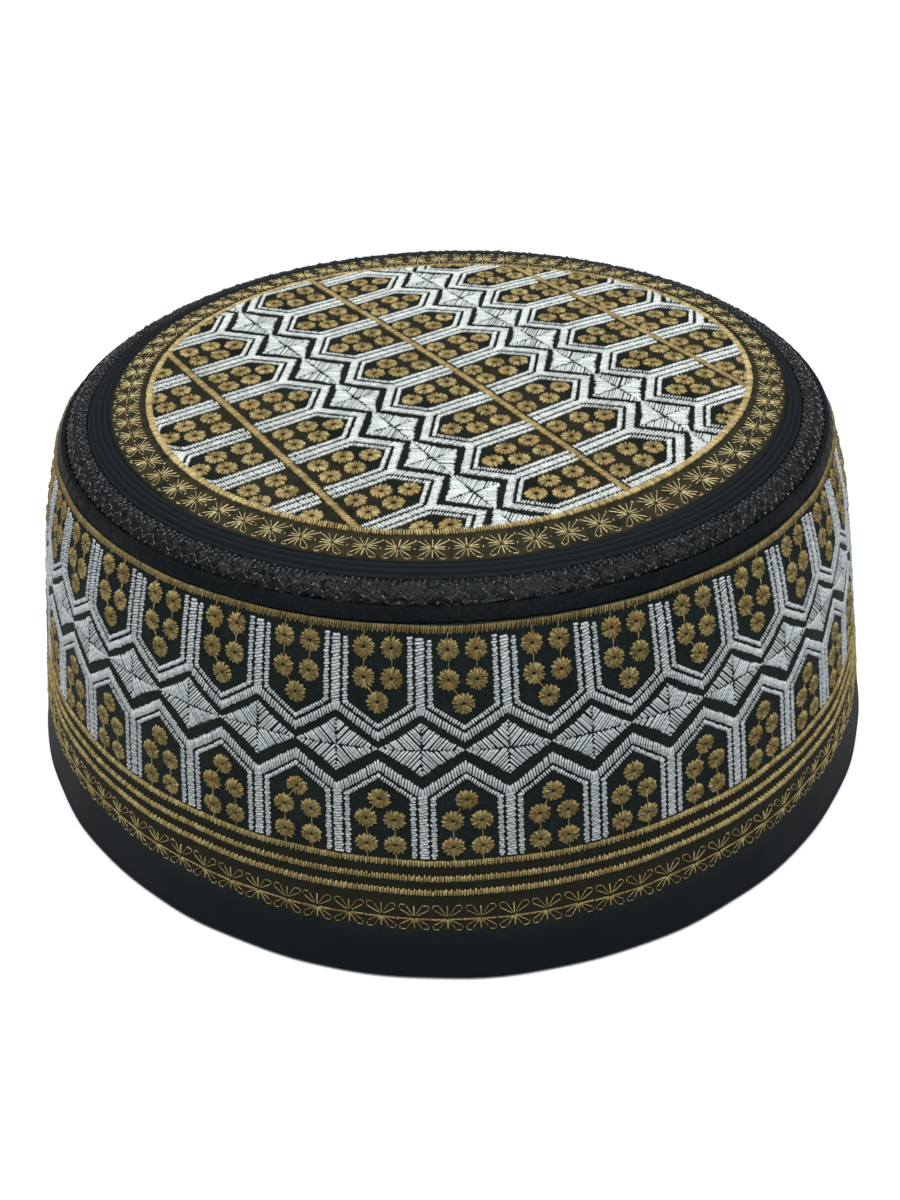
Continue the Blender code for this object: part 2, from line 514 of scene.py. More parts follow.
def rim_strip_outline():
    low = math.degrees(math.asin((ROLL_BASE - STRIP_CENTRE[1]) / STRIP_ROUND))
    inside = ROLL_ROUND + SEAM_GAP
    inner_low = -math.degrees(math.asin((ROLL_CENTRE[1] - ROLL_BASE) / inside))
    outline = arc(STRIP_CENTRE, STRIP_ROUND, low, 40.0, 10)
    return outline + arc(ROLL_CENTRE, inside, 20.0, inner_low, 8)


def pucker(points):
    turn, radius = polar(points[:, 0], points[:, 1])
    uneven = 0.6 + 0.4 * np.sin(turn * 11 + PUCKER_PHASE)
    folds = np.sin(turn * PUCKERS + np.sin(turn * 17) + PUCKER_PHASE) ** 2
    points[:, :2] *= ((radius - PUCKER_DEEP * uneven * folds) / radius)[:, None]


# The rim's satin is a darker copy of the band's: painted shade under the shoulder roll.
rim_cloth = cloth_material(
    "black_satin_rim_painted_shade", (0.0038, 0.0060, 0.0075), (0.0085, 0.0110, 0.0130), 0.50, 0.06, crinkle=0.6
)
rim_strip, _ = make_cloth(
    "rim_strip_cloth", rim_strip_outline(), 3 * SEGMENTS, pucker, rim_cloth,
    lambda c: c[:, 2] * 1.3, 76.0,
)

# %% [markdown]
# ## The padded shoulder
#
# The shoulder is a roll of wadding under black cloth, quilted with shiny black thread. Between
# the stitches the cloth swells a little. The swelling is modelled in the roll's own shape, as
# soft lozenges that follow the zigzag seam, so the light breaks on it as on real quilting. A
# low lip under the roll is tucked inside the band's upper edge, so that no light comes through.
# The cloth is dull where the zigzag lies, and shiny above and below it.

# %% Shoulder roll
QUILTS = 142  # zigzags of the seam round the shoulder
LIP = ((73.4, ROLL_BASE - 0.45), (75.1, ROLL_BASE - 0.38))
# roughness up the roll, by shares of 10 mm of cloth
SHINE = (
    (0.09, 0.50), (0.13, 0.20), (0.18, 0.24), (0.23, 0.50),
    (0.28, 0.45), (0.34, 0.24), (0.46, 0.17), (0.65, 0.19),
)


def shoulder_outline():
    inner = CROWN_RADIUS + SEAM_GAP
    low = -math.degrees(math.asin((ROLL_CENTRE[1] - ROLL_BASE) / ROLL_ROUND))
    high = math.degrees(math.acos((inner - ROLL_CENTRE[0]) / ROLL_ROUND))
    return [*arc(ROLL_CENTRE, ROLL_ROUND, low, high, 26), (inner, ROLL_BASE), *LIP]


def angle_over_roll(points):
    radius = np.hypot(points[:, 0], points[:, 1])
    return np.arctan2(points[:, 2] - ROLL_CENTRE[1], radius - ROLL_CENTRE[0])


def swell(turn, over):
    """How far the quilted cloth swells or sinks, in mm: lozenges between the seams, crinkles."""
    low, high = math.radians(20), math.radians(106)
    window = np.clip((over - low) / 0.2, 0, 1) * np.clip((high - over) / 0.2, 0, 1)
    lozenge = np.sin(turn * QUILTS) * np.sin((over - math.radians(30)) * 5.0)
    crinkle = np.sin(turn * 211 + over * 7 + 1.9 * np.sin(turn * 37))
    crinkle = crinkle * np.sin(over * 9 + 2.3 * np.sin(turn * 83))
    folds = np.sin(turn * 131 - over * 5 + 1.7 * np.sin(turn * 29 + over * 2))
    folds = folds * np.cos(over * 6 + 1.5 * np.sin(turn * 61))
    return window * (0.05 * lozenge + 0.13 * crinkle + 0.13 * folds - 0.05)


def quilt(points):
    turn, radius = polar(points[:, 0], points[:, 1])
    over = angle_over_roll(points)
    lift = swell(turn, over)
    points[:, :2] *= ((radius + lift * np.cos(over)) / radius)[:, None]
    points[:, 2] += lift * np.sin(over)


quilted_cloth = cloth_material(
    "black_quilted_shoulder", (0.0030, 0.0046, 0.0060), (0.0090, 0.0128, 0.0155),
    0.34, 0.20, weave=2.6, crinkle=1.0, gloss=SHINE,
)
shoulder, _ = make_cloth(
    "padded_shoulder", shoulder_outline(), 6 * QUILTS, quilt, quilted_cloth,
    lambda c: angle_over_roll(c) * ROLL_ROUND, 73.0,
)

# %% [markdown]
# ## The crown
#
# The crown is a stiff disc that rises a little in the middle. Outside the daisies it has rows of
# topstitching, which show as low ribs with grooves between them. The ring and the border aren't
# quite circles, because the cloth was pulled in the hoop: small waves on their radius say by how
# much. The ribs start where the daisies end, so they are pressed into the disc after the spin.
# The disc's lower edge reaches the roll and closes the seam.

# %% Crown panel
CROWN_TURN = math.radians(-58.41)  # the chains run across the crown at this angle
TURN_COS, TURN_SIN = math.cos(CROWN_TURN), math.sin(CROWN_TURN)
RING_RADIUS = 59.47
RING_WAVES = ((1, -0.47, 0.75), (2, -0.45, -0.72), (3, 0.85, -0.57))
BORDER_RADIUS = 66.66
BORDER_WAVES = ((1, -0.41, 0.80), (2, 0.20, -0.48), (3, 0.42, -0.21))
RIB_FIRST = 67.45
RIB_PITCH = 1.12
RIB_DEEP = 0.62
BEND_FROM = 67.9
CHAIN_APART = 43.8
BROWN_FLUFF = (0.040, 0.033, 0.0180)
BARE_EDGE = (0.0118, 0.0156, 0.0188)


def crown_top(radius):
    """The crown's upper face at a radius."""
    return CROWN_EDGE_HEIGHT + CROWN_RISE * (1 - (radius / CROWN_RADIUS) ** 2)


def crown_outline():
    under = [(r, crown_top(r) - CLOTH) for r in np.linspace(0.0, 69.5, 12)]
    edge = arc((69.95, CROWN_EDGE_HEIGHT - CLOTH + 0.6), 0.6, -60, 0, 3)
    close = np.arange(70.3, 64.6, -0.09)
    wide = np.concatenate([np.arange(64.4, 57.0, -0.5), np.linspace(56.5, 0.0, 28)])
    return under + edge + [(float(r), crown_top(r)) for r in (*close, *wide)]


def waved(x, y, radius, waves):
    """A circle's radius with slow waves on it, in the direction of a point."""
    turn, _ = polar(x, y)
    for order, cosine, sine in waves:
        radius = radius + cosine * np.cos(order * turn) + sine * np.sin(order * turn)
    return radius


def ring_radius(x, y):
    """The gold ring's radius."""
    return waved(x, y, RING_RADIUS, RING_WAVES)


def border_radius(x, y):
    """The outer edge of the daisies round the crown."""
    return waved(x, y, BORDER_RADIUS, BORDER_WAVES)


def press_crown(points):
    """Sways the crown, presses the ribs into its bare edge and bends that edge down to the seam."""
    x, y = points[:, 0], points[:, 1]
    radius = np.hypot(x, y)
    points[:, 2] += crown_sway(x, y)
    groove = np.abs(np.sin(math.pi * (radius - RIB_FIRST) / RIB_PITCH))
    bare = np.clip((radius - border_radius(x, y) - 0.1) / 0.4, 0, 1)
    sunk = RIB_DEEP * (1.0 - groove**0.45) * bare + 0.18 * np.clip(radius - BEND_FROM, 0, None) ** 2
    points[:, 2] -= np.where(points[:, 2] > crown_top(radius) - CLOTH / 2, sunk, 0.0)


def mark_crown(piece, points):
    """Two values for the material: where gold fluff lies, and where the edge is bare."""
    x, y = points[:, 0], points[:, 1]
    radius = np.hypot(x, y)
    ring, border = ring_radius(x, y), border_radius(x, y) + 0.15
    wave = np.cos((y * TURN_COS - x * TURN_SIN - 0.6) * 2 * math.pi / CHAIN_APART)
    cells = np.clip((wave + 0.15) / 0.6, 0, 1) * np.clip((ring - radius) / 0.8, 0, 1)
    daisies = np.clip((radius - ring) / 1.2, 0, 1) * np.clip((border + 0.35 - radius) / 0.5, 0, 1)
    upper = points[:, 2] > crown_top(radius) - CLOTH / 2
    marks = {
        "fluff": np.maximum(0.52 * cells, daisies) * upper,
        "bare": np.clip((radius - border) / 0.5, 0, 1),
    }
    for name, value in marks.items():
        piece.data.attributes.new(name, "FLOAT", "POINT").data.foreach_set("value", value)


def tint_crown(tree, where, colour):
    """Browns the ground under the daisies and round the rosettes, where gold fluff lies in it."""
    fluff = add_node(tree, "Attribute", attribute_name="fluff").outputs["Fac"]
    bare = add_node(tree, "Attribute", attribute_name="bare").outputs["Fac"]
    lint = stretch(tree, noise(tree, where, 520.0, 3.0), 0.25, 0.62)
    colour = lay_over(tree, join(tree, "MULTIPLY", fluff, lint), colour, BROWN_FLUFF)
    return lay_over(tree, bare, colour, BARE_EDGE)


crown_satin = cloth_material(
    "black_satin_crown", (0.005, 0.0075, 0.006), (0.014, 0.0185, 0.015), 0.6, 0.05, tint=tint_crown
)
crown, crown_points = make_cloth("crown_cloth", crown_outline(), SEGMENTS, press_crown, crown_satin)
mark_crown(crown, crown_points)

# %% [markdown]
# ## One stitch
#
# Machine embroidery is thousands of short threads, each laid from one hole to the next. A
# thread laid like that looks like a small loaf: flat underneath, round on top, with both ends
# narrowing as they dive into the cloth. One stitch is modelled from a cube. Its top face is
# squeezed to a ridge that is a little shorter than the base, and the two end edges of the base
# are cut in half and drawn out to points. Eight corners are enough, because smooth shading
# rounds it and a hat has tens of thousands.

# %% Model one stitch
RIDGE_SHARE = 0.66
POINT_SHARE = 0.80  # the base's full width holds over this share of its length


def choose(shape, kind, test):
    """Selects the faces, edges or corners whose middle passes a test."""
    bpy.ops.object.mode_set(mode="EDIT")
    bpy.ops.mesh.select_mode(type=kind)
    bpy.ops.mesh.select_all(action="DESELECT")
    bpy.ops.object.mode_set(mode="OBJECT")
    mesh = shape.data
    for part in {"FACE": mesh.polygons, "EDGE": mesh.edges, "VERT": mesh.vertices}[kind]:
        ends = [part.index] if kind == "VERT" else part.vertices
        part.select = bool(test(sum((mesh.vertices[i].co for i in ends), Vector()) / len(ends)))
    bpy.ops.object.mode_set(mode="EDIT")


def model_stitch():
    """A stitch one unit long, wide and high, as corners and triangles."""
    bpy.ops.object.select_all(action="DESELECT")
    bpy.ops.mesh.primitive_cube_add(size=1.0, location=(0.0, 0.0, 0.0))
    stitch = bpy.context.object
    choose(stitch, "FACE", lambda middle: middle.z > 0.4)
    bpy.ops.transform.resize(value=(RIDGE_SHARE, 0.0, 1.0), center_override=(0.0, 0.0, 0.5))
    bpy.ops.mesh.select_all(action="SELECT")
    bpy.ops.mesh.remove_doubles(threshold=1e-5)
    choose(stitch, "VERT", lambda middle: middle.z < 0)
    bpy.ops.transform.resize(value=(POINT_SHARE, 1.0, 1.0), center_override=(0.0, 0.0, -0.5))
    choose(stitch, "EDGE", lambda middle: middle.z < -0.4 and abs(middle.x) > 0.3)
    bpy.ops.mesh.subdivide(number_cuts=1)
    choose(stitch, "VERT", lambda middle: middle.z < 0 and abs(middle.y) < 0.1)
    bpy.ops.transform.resize(value=(1 / POINT_SHARE, 1.0, 1.0), center_override=(0.0, 0.0, -0.5))
    bpy.ops.mesh.select_all(action="SELECT")
    bpy.ops.mesh.quads_convert_to_tris()
    bpy.ops.mesh.normals_make_consistent(inside=False)
    bpy.ops.object.mode_set(mode="OBJECT")
    corners = np.array([v.co[:] for v in stitch.data.vertices])
    faces = np.array([f.vertices[:] for f in stitch.data.polygons])
    bpy.data.meshes.remove(stitch.data)
    return corners, faces


STITCH_CORNERS, STITCH_FACES = model_stitch()
print("one stitch:", len(STITCH_CORNERS), "corners,", len(STITCH_FACES), "triangles")

# %% [markdown]
# ## Sewing many stitches
#
# A row of embroidery is a list of stitches: where each starts and ends on the flat cloth, how
# wide the thread is and how high it stands. `sew` copies the one stitch to every place in the
# list, puts each corner on the curved cloth, and joins them all in one mesh. Arrays do it for
# the whole list at once. Every stitch also gets its own shade and a UV map in millimetres, so
# the thread's material can show its twist and its small differences.

# %% Sew a list of stitches
SINK = 0.05  # how far a stitch's foot lies under the cloth's face
pieces = {}


def stitch_rows(*columns):
    """Stitches from the columns start x, y, end x, y, width and height, or one number for all."""
    return np.stack(np.broadcast_arrays(*columns), axis=1).astype(float)


def sew(name, stitches, place, material, seed, ragged=0.03, root_shade=0.0):
    """Joins a copy of the modelled stitch for each row (from x, y to x, y, width, height).

    The last argument paints shade: each stitch is darker at its start, where it dives into the
    cloth.
    """
    rng = np.random.default_rng(seed)
    rows = np.array(stitches, dtype=float)
    count = len(rows)
    rows[:, 0:4] += rng.normal(0.0, ragged, (count, 4))
    rows[:, 4] *= rng.uniform(0.92, 1.06, count)
    rows[:, 5] *= rng.uniform(0.82, 1.15, count)
    step = rows[:, 2:4] - rows[:, 0:2]
    length = np.maximum(np.linalg.norm(step, axis=1, keepdims=True), 1e-6)
    along = step / length
    across = np.stack([-along[:, 1], along[:, 0]], axis=1)
    middle = (rows[:, 0:2] + rows[:, 2:4]) / 2
    ends, sides, tops = STITCH_CORNERS.T[:, None, :]
    reach = ends[..., None] * length[:, None, :] * along[:, None, :]
    spread = sides[..., None] * rows[:, None, 4, None] * across[:, None, :]
    flat = middle[:, None, :] + reach + spread
    lift = np.where(tops > 0, rows[:, 5, None], -SINK)
    corners = place(flat[..., 0], flat[..., 1], lift).reshape(-1, 3) * MM
    offsets = len(STITCH_CORNERS) * np.arange(count)[:, None, None]
    faces = (STITCH_FACES[None] + offsets).reshape(-1, 3)
    mesh = bpy.data.meshes.new(name)
    mesh.from_pydata(corners.tolist(), [], faces.tolist())
    # Painted shade: each stitch's start is made darker, where it dives into the cloth.
    own = rng.uniform(0.0, 1.0, (count, 1)) - root_shade * (0.5 - ends)
    mesh.attributes.new("shade", "FLOAT", "POINT").data.foreach_set("value", own.ravel())
    thread = np.stack([ends * length, sides * rows[:, 4, None]], axis=2)
    thread = (thread + rng.uniform(0.0, 5.0, (count, 1, 1))).reshape(-1, 2)
    mesh.uv_layers.new(name="thread").data.foreach_set("uv", thread[faces.ravel()].ravel())
    mesh.shade_smooth()
    mesh.materials.append(material)
    pieces[name] = bpy.data.objects.new(name, mesh)
    bpy.context.scene.collection.objects.link(pieces[name])
    print(f"{name}: {count} stitches, {len(faces)} triangles")


# %% [markdown]
# ## Thread
#
# Embroidery thread is two shiny strands twisted together. The twist shows as fine slanting
# lines along each stitch, which are in the bump. The stitch's own shade and a slow noise keep
# neighbours apart, and a third colour comes through in patches. The gold thread is dyed, not
# metal, so it has no metallic part. The line under the rim strip has a darker copy of the gold:
# painted shadow from the strip. The side's white and gold are darker copies of the crown's:
# painted shade on the band.

# %% Thread materials
ThreadTone = namedtuple("ThreadTone", "dark light stray roughness specular", defaults=(0.5, 0.2))
# The side's white and gold are darker copies of the crown's white and gold: painted shade on the
# band, which gets less light than the crown.
THREAD_TONES = {
    "white_thread_side_painted_shade": ThreadTone((0.46, 0.51, 0.53), (0.66, 0.7, 0.72), (0.5, 0.52, 0.58), 0.5, 0.25),
    "gold_thread_side_painted_shade": ThreadTone((0.2, 0.155, 0.053), (0.52, 0.425, 0.19), (0.33, 0.195, 0.07)),
    # The upper line's darker gold is painted shadow from the rim strip above it.
    "gold_thread_upper_line_painted_shadow": ThreadTone((0.115, 0.086, 0.03), (0.29, 0.228, 0.1), (0.23, 0.125, 0.04)),
    "white_thread_crown": ThreadTone((0.56, 0.62, 0.6), (0.9, 0.95, 0.92), (0.58, 0.62, 0.66), 0.5, 0.25),
    "gold_thread_crown": ThreadTone((0.2, 0.152, 0.052), (0.74, 0.6, 0.285), (0.45, 0.265, 0.11)),
    "gold_thread_crown_lines": ThreadTone((0.165, 0.122, 0.038), (0.5, 0.38, 0.165), (0.4, 0.235, 0.095)),
    "fine_gold_thread_crown": ThreadTone((0.34, 0.275, 0.11), (0.86, 0.74, 0.39), (0.55, 0.36, 0.17)),
    # The black thread's grey light end is painted highlight: it stands in for the glints on the
    # shiny thread. Its dark end is the thread's real black.
    "black_thread_painted_glints": ThreadTone(
        (0.014, 0.018, 0.022), (0.12, 0.135, 0.148), (0.03, 0.035, 0.042), 0.25, 0.6
    ),
}
TWIST_SLANT = math.radians(14)


def thread_material(name, tone):
    material, tree, shader, where = start_material(name, tone.roughness, tone.specular)
    own = add_node(tree, "Attribute", attribute_name="shade").outputs["Fac"]
    mixed = stretch(tree, join(tree, "ADD", own, noise(tree, where, 220.0, 2.0)), 0.3, 1.5)
    colour = colour_ramp(tree, mixed, (0.0, tone.dark), (1.0, tone.light))
    patch = stretch(tree, noise(tree, where, 380.0, 3.0), 0.52, 0.75)
    tree.links.new(lay_over(tree, patch, colour, tone.stray), shader.inputs["Base Color"])
    flat = add_node(tree, "UVMap", uv_map="thread").outputs["UV"]
    twist = waves(tree, flat, TWIST_SLANT, 1.5, 0.5, bands_direction="Y")
    tree.links.new(bump(tree, twist, 0.8, 0.00009), shader.inputs["Normal"])
    return material


threads = {name: thread_material(name, tone) for name, tone in THREAD_TONES.items()}
print("threads:", len(threads))

# %% [markdown]
# ## Where a stitch lands
#
# Three small functions put a flat place on the hat: on the side wall, on the crown, and over
# the shoulder's roll. On the wall, x runs round the girth and is measured at the diamond row,
# and y runs up the cloth from that row. The crown's y axis points away from the camera.

# %% Places on the cloth
REPEATS = 38
CHAIN_ARC = 46.1
CHAIN_RADIUS = float(np.interp(CHAIN_ARC, WALL_ARC, WALL_RADII))
GIRTH = 2 * math.pi * CHAIN_RADIUS
PITCH = GIRTH / REPEATS
FIRST_PINCH = math.radians(1.08)


def on_wall(x, y, lift):
    """The flat place x mm round the girth and y mm over the diamond row, lift mm over the cloth."""
    turn = x / CHAIN_RADIUS
    at = CHAIN_ARC + y
    height = np.interp(at, WALL_ARC, WALL_HEIGHTS)
    radius = np.interp(at, WALL_ARC, WALL_RADII) + wall_sway(turn, height)
    radius = radius + lift * np.interp(at, WALL_ARC, WALL_OUT)
    return around(turn, radius, height + lift * np.interp(at, WALL_ARC, WALL_UP))


def on_crown(x, y, lift):
    return np.stack([x, y, crown_top(np.hypot(x, y)) + crown_sway(x, y) + lift], axis=-1)


def on_roll(x, y, lift):
    """x mm round the shoulder, y mm over it from its outermost line."""
    turn, over = x / ROLL_CENTRE[0], y / ROLL_ROUND
    out = ROLL_ROUND + lift + swell(turn, over)
    return around(turn, ROLL_CENTRE[0] + out * np.cos(over), ROLL_CENTRE[1] + out * np.sin(over))


print("diamond row: radius", round(CHAIN_RADIUS, 2), "mm, a repeat every", round(PITCH, 2), "mm")

# %% [markdown]
# ## The pattern's unit
#
# The same unit covers the side and the crown: a chain of diamonds that touch at their tips,
# and on each side of it a thick and a thin zigzag that run into upright bars. It is drawn once
# for half a cell, over the chain. x = 0 is the bar, and half a pitch to either side is a
# pinch, where two diamonds meet. A `Half` gives the heights over the chain. They differ from
# row to row, because the machine pulled the cloth a little differently each time. A `Style`
# gives the widths and the density of the thread, which differ between the side and the crown.

# %% Half cells
Half = namedtuple("Half", "diamond vein rise thick thin bar_end bar_slope lean buds")
UPPER = Half(4.95, 0.38, 4.88, (1.70, 3.45), (3.90, 4.85), 19.60, 24, 0.21, (8.53, 12.59, 17.55))
LOWER = Half(4.85, -0.38, 5.42, (1.45, 3.62), (4.00, 4.95), 20.80, -15, 0.17, (8.92, 12.97, 18.05))
Style = namedtuple("Style", "thick thin thin_at step rays ray_width uneven")
SIDE_STYLE = Style(1.46, 0.78, 1.59, 0.54, 17, 0.46, 0.12)
CROWN_STYLE = Style(1.48, 0.88, 1.56, 0.50, 20, 0.50, 0.34)
ZIGZAG_STEP = 0.43
RAY_SLOPE = math.radians(50)
rng = np.random.default_rng(5)


def band_at(half, band, x):
    """The lower and upper edge of a zigzag band, x mm from the bar."""
    climb = half.rise * (1 - np.clip(x, 0.0, PITCH / 2) / (PITCH / 2))
    return band[0] + climb, band[1] + climb


def zigzag_rows(half, band, reach, step):
    """A satin zigzag on both sides of the bar: stitches across the band, heads leaning away."""
    rows = []
    for x in np.arange(reach, PITCH / 2 + 0.01, step):
        for side in (-1, 1):
            foot, head = max(x - half.lean, 0.0), min(x + half.lean, PITCH / 2)
            y_foot = band_at(half, band, foot)[0] + rng.uniform(-0.16, 0.10)
            y_head = band_at(half, band, head)[1] + rng.uniform(-0.05, 0.07)
            rows.append((side * foot, y_foot, side * head, y_head, step * 1.02, 0.30))
    rows.append((PITCH / 2, band[0], PITCH / 2, band[1] - 0.1, step * 1.1, 0.28))
    return rows


def bar_rows(centre, width, start, end, step, slope):
    """A bar of satin stitches with a slope in degrees, level at its end. Every other is longer."""
    thread = step * math.cos(math.radians(slope)) * 1.15
    rows = []
    for i, y in enumerate(np.arange(start, end, step)):
        rise = width * math.tan(math.radians(slope)) / 2 * min((end - y) / 3.0, 1.0)
        out = (0.13, -0.03)[i % 2] + rng.uniform(-0.06, 0.08, 2)
        left, right = centre - width / 2 - out[0], centre + width / 2 + out[1]
        rows.append((left, y - rise, right, y + rise, thread, 0.30))
    return rows


def all_diamonds(half, style):
    """The half diamond over the chain: slanting stitches from its veins out to its edge."""
    rows = []
    cosine, sine = math.cos(RAY_SLOPE), math.sin(RAY_SLOPE)
    for side in (-1, 1):
        for i in range(style.rays):
            t = (i + 0.5 + rng.normal(0, 0.16)) / style.rays
            edge = ((PITCH / 2 - 0.05) * (1 - t), half.diamond * t)
            to_vein = min(edge[0] / cosine, edge[1] / sine)
            run = max(to_vein + rng.uniform(-0.16, 0.20), 0.3)
            out = 1 + rng.uniform(-0.06, style.uneven) / run
            foot = (edge[0] - run * cosine, edge[1] - run * sine)
            tip = (foot[0] + (edge[0] - foot[0]) * out, foot[1] + (edge[1] - foot[1]) * out)
            ends = (side * foot[0], foot[1] + half.vein, side * tip[0], tip[1] + half.vein)
            rows.append((*ends, style.ray_width * rng.uniform(0.8, 1.2), 0.24))
    return rows


def all_zigzags(half, style):
    rows = zigzag_rows(half, half.thick, 0.06, ZIGZAG_STEP)
    return rows + zigzag_rows(half, half.thin, style.thin_at, ZIGZAG_STEP * 0.92)


def all_bars(half, style):
    """The thick bar and the thin bar on each side of it."""
    start, end, slope = half.thick[1] + half.rise - 0.6, half.bar_end, half.bar_slope
    rows = bar_rows(0.0, style.thick, start, end, style.step, slope)
    start = band_at(half, half.thin, style.thin_at)[1] - 0.35
    for x, shorter in ((-style.thin_at, 0.0), (style.thin_at, 0.3)):
        rows += bar_rows(x, style.thin, start, end - shorter, style.step * 0.93, slope)
    return rows


# %% [markdown]
# A drawing is then laid at every cell of the side, over the chain and, flipped, under it. It is
# drawn afresh each time, so no two cells have the same small errors.

# %% Sew the side's white thread
SHAPES = {"diamonds": all_diamonds, "zigzags": all_zigzags, "bars": all_bars}


def flipped(rows):
    """The same stitches on the other side of the chain."""
    turned = np.array(rows, dtype=float)
    turned[:, [1, 3]] *= -1
    return turned


def shifted(rows, x):
    """The same stitches, moved along x."""
    moved = np.array(rows, dtype=float)
    moved[:, [0, 2]] += x
    return moved


def round_the_side(draw, style, places):
    cells = []
    for x in places:
        cells.append(shifted(draw(UPPER, style), x))
        cells.append(shifted(flipped(draw(LOWER, style)), x))
    return np.concatenate(cells)


bar_places = FIRST_PINCH * CHAIN_RADIUS + (np.arange(REPEATS) + 0.5) * PITCH
for seed, (shape, draw) in enumerate(SHAPES.items(), 11):
    cells = round_the_side(draw, SIDE_STYLE, bar_places)
    sew("side_white_" + shape, cells, on_wall, threads["white_thread_side_painted_shade"], seed)

# %% [markdown]
# ## The gold rosettes
#
# Five small rosettes fill each cell. A rosette is sewn from its middle outwards, so its stitches
# crowd in the middle round a dark hole, and their outer ends make a ragged edge. Short threads
# run from one rosette to the next on the side, because the machine doesn't cut them.

# %% Rosettes
BUD_STITCHES = 27
Buds = namedtuple("Buds", "radius hole spread thread linked")
SIDE_BUDS = Buds(1.95, 0.20, 2.3, 0.38, True)
CROWN_BUDS = Buds(2.16, 0.34, 2.25, 0.46, False)
# Painted shade at each rosette's middle, where its stitches dive into the cloth round the hole.
BUD_ROOT_SHADE = 0.9


def bud_rows(x, y, buds):
    """One rosette: radial stitches, every other one a little longer."""
    rows = []
    first = rng.uniform(0, 1)
    for i in range(BUD_STITCHES):
        angle = 2 * math.pi * (i + first) / BUD_STITCHES + rng.normal(0, 0.035)
        out = buds.radius * (rng.uniform(0.97, 1.06) if i % 2 else rng.uniform(0.86, 0.98))
        c, s = math.cos(angle), math.sin(angle)
        ends = (x + buds.hole * c, y + buds.hole * s, x + out * c, y + out * s)
        rows.append((*ends, buds.thread, rng.uniform(0.24, 0.44)))
    return rows


def bud_cell(half, buds):
    """The five rosettes of a half cell round a pinch at x = 0, and the threads between them."""
    rows = bud_rows(0.0, half.buds[0], buds)
    links = [(-0.9, half.buds[0] + 1.5, -1.6, half.buds[1] - 1.5, 0.24, 0.2)]
    for side in (-1, 1):
        x = side * buds.spread
        for y in half.buds[1:]:
            rows += bud_rows(x, y, buds)
        links.append((x, half.buds[1] + 1.6, x + 0.1, half.buds[2] - 1.6, 0.24, 0.2))
        links.append((x, half.buds[2] + 1.6, x + 0.15, half.bar_end + 0.9, 0.24, 0.2))
    return rows + links if buds.linked else rows


pinches = FIRST_PINCH * CHAIN_RADIUS + np.arange(REPEATS) * PITCH
side_buds = round_the_side(bud_cell, SIDE_BUDS, pinches)
sew("side_gold_rosettes", side_buds, on_wall, threads["gold_thread_side_painted_shade"], 15, root_shade=BUD_ROOT_SHADE)

# %% [markdown]
# ## The gold satin lines
#
# One line closes the pattern under the rim and three run under it. Each is a satin stitch: close
# short threads across the line, all with the same slant. On one edge every second stitch reaches
# further, which makes a comb.

# %% Satin lines on the side
Line = namedtuple("Line", "y width slant comb")
UPPER_LINE = Line(20.78, 1.65, 0.12, -1)
LOWER_LINES = (
    Line(-21.50, 1.35, 0.05, -1),
    Line(-24.50, 1.25, 0.05, 1),
    Line(-27.35, 1.30, 0.05, 1),
)
SATIN_STEP = 0.42
SATIN_WIDTH = SATIN_STEP * 0.98
COMB = 0.32


def satin_rows(line, x):
    """Satin stitches across a line, one at each x."""
    edges = rng.uniform(-0.06, 0.06, (len(x), 2)) + (-line.width / 2, line.width / 2)
    short = COMB * (np.arange(len(x)) % 2) * rng.uniform(0.5, 1.2, len(x))
    edges[:, 0 if line.comb < 0 else 1] -= line.comb * short
    low, high = line.y + edges.T
    return stitch_rows(x - line.slant, low, x + line.slant, high, SATIN_WIDTH, 0.42)


round_girth = np.arange(round(GIRTH / SATIN_STEP)) * GIRTH / round(GIRTH / SATIN_STEP)
upper_line = satin_rows(UPPER_LINE, round_girth)
sew("side_gold_upper_line", upper_line, on_wall, threads["gold_thread_upper_line_painted_shadow"], 18)
lower_lines = np.concatenate([satin_rows(line, round_girth) for line in LOWER_LINES])
sew("side_gold_lines", lower_lines, on_wall, threads["gold_thread_side_painted_shade"], 16)

# %% [markdown]
# ## The daisies
#
# A border of small daisies runs round the hem. A daisy has one thick stitch up and one down,
# four petals, each a closed loop of thin thread, and a short fan below its dark middle. A pair
# of thin threads runs on to the next daisy, with a knot halfway.

# %% Daisies round the hem
SIDE_DAISIES = 100
SIDE_DAISY_Y = -32.6
FIRST_DAISY = math.radians(2.22)
SIDE_RAYS = (
    (0.1, -0.25, 2.9, -0.28, 0.12, 0.15),
    (0.1, -0.46, 2.9, -0.44, 0.12, 0.15),
    (0.12, -0.35, 0.45, -1.15, 0.24, 0.22),
    (0.18, -0.20, 0.75, -0.80, 0.24, 0.22),
)


def petal_rows(inner, outer, side, up, thread):
    """A petal: a thread out, over the rounded tip and back to the middle."""
    inner, outer = np.array(inner), np.array(outer)
    path = [inner * 0.08, inner * 0.94, (inner + outer) / 2 * 1.14, outer * 0.94, outer * 0.08]
    path = [(side * x, up * y) for x, y in path]
    return [(*a, *b, thread, 0.14) for a, b in zip(path, path[1:])]


def mirrored(rows, side):
    """The same stitches on the right of the middle (1) or on its left (-1)."""
    return [(side * x, y, side * end_x, end_y, *size) for x, y, end_x, end_y, *size in rows]


def side_daisy_rows():
    """One daisy of the hem round (0, 0), in mm on the cloth."""
    rows = [(0.0, 0.1, 0.0, 2.5, 0.26, 0.24), (0.0, -0.3, 0.0, -2.4, 0.26, 0.24)]
    for side in (-1, 1):
        rows += mirrored(SIDE_RAYS, side)
        for up in (-1, 1):
            rows += petal_rows((1.50, 2.65), (2.70, 1.85), side, up, 0.12)
    rows.append((2.96, -0.55, 2.96, -0.15, 0.26, 0.24))
    return np.array(rows)


